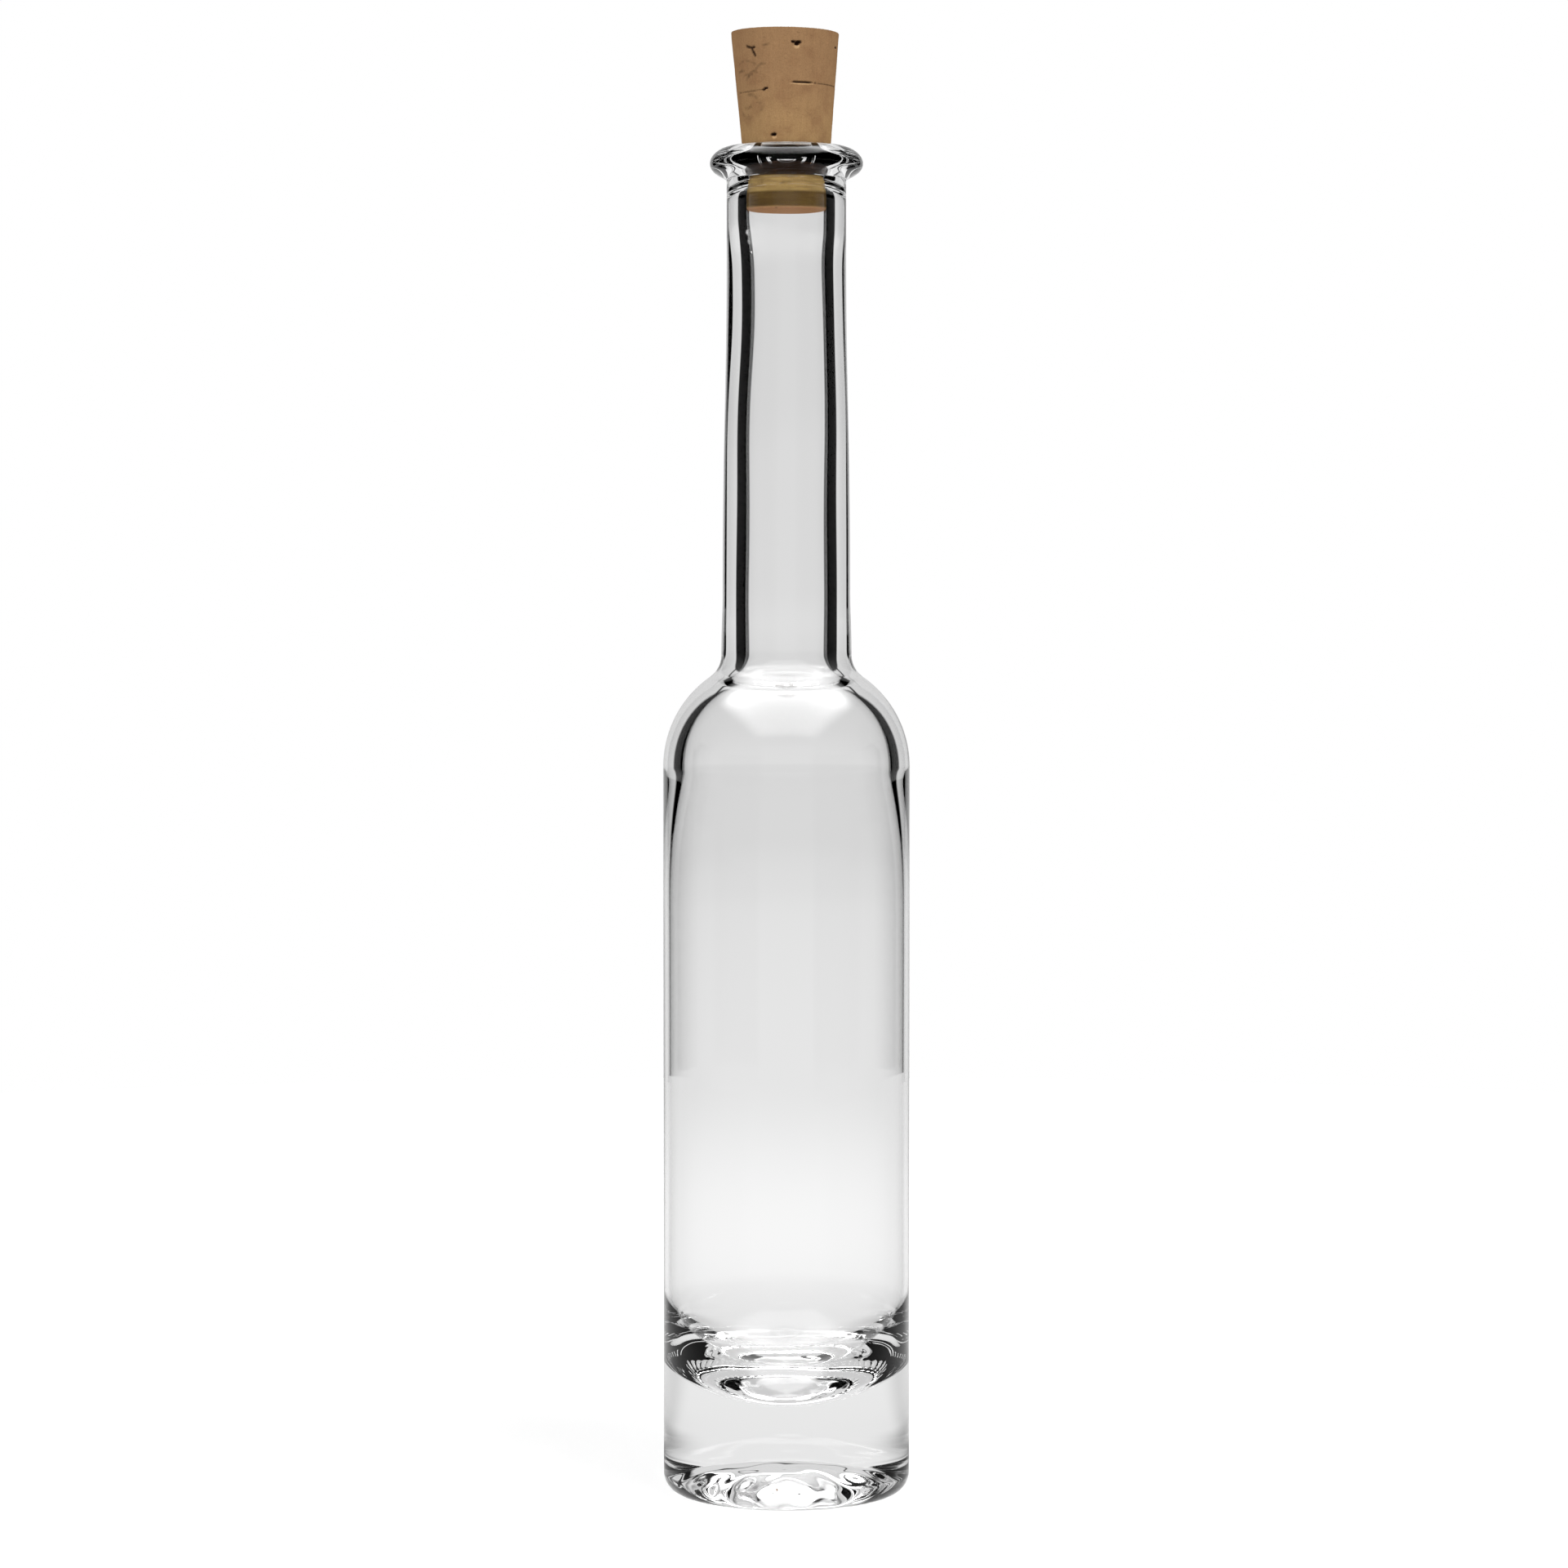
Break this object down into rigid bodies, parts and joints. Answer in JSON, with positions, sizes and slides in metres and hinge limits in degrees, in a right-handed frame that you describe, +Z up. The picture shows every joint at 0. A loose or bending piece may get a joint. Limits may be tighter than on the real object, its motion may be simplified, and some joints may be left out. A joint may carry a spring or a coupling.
{
  "type": "cork bottle",
  "caption": "Tall slim clear-glass bottle with a long neck, a round shoulder, a domed base and a tapered natural cork that pulls out of its mouth.",
  "frame": {"origin": "centre of the ring that the bottle stands on, at the level of that ring", "axes": "+Z up along the bottle's axis, towards the cork; the part is round, so +X and +Y are free"},
  "size_m": [0.0375, 0.0374, 0.2218],
  "materials": {
    "glass": "clear flint glass, fire-polished",
    "cork": "natural cork, matt"
  },
  "bodies": {
    "bottle": {"glass_bottle": "glass"},
    "stopper": {"cork_stopper": "cork"}
  },
  "joints": [
    {"name": "cork_pull", "type": "slide", "parent": "bottle", "child": "stopper", "axis": [0, 0, 1], "range_m": [0, 0.03]}
  ]
}
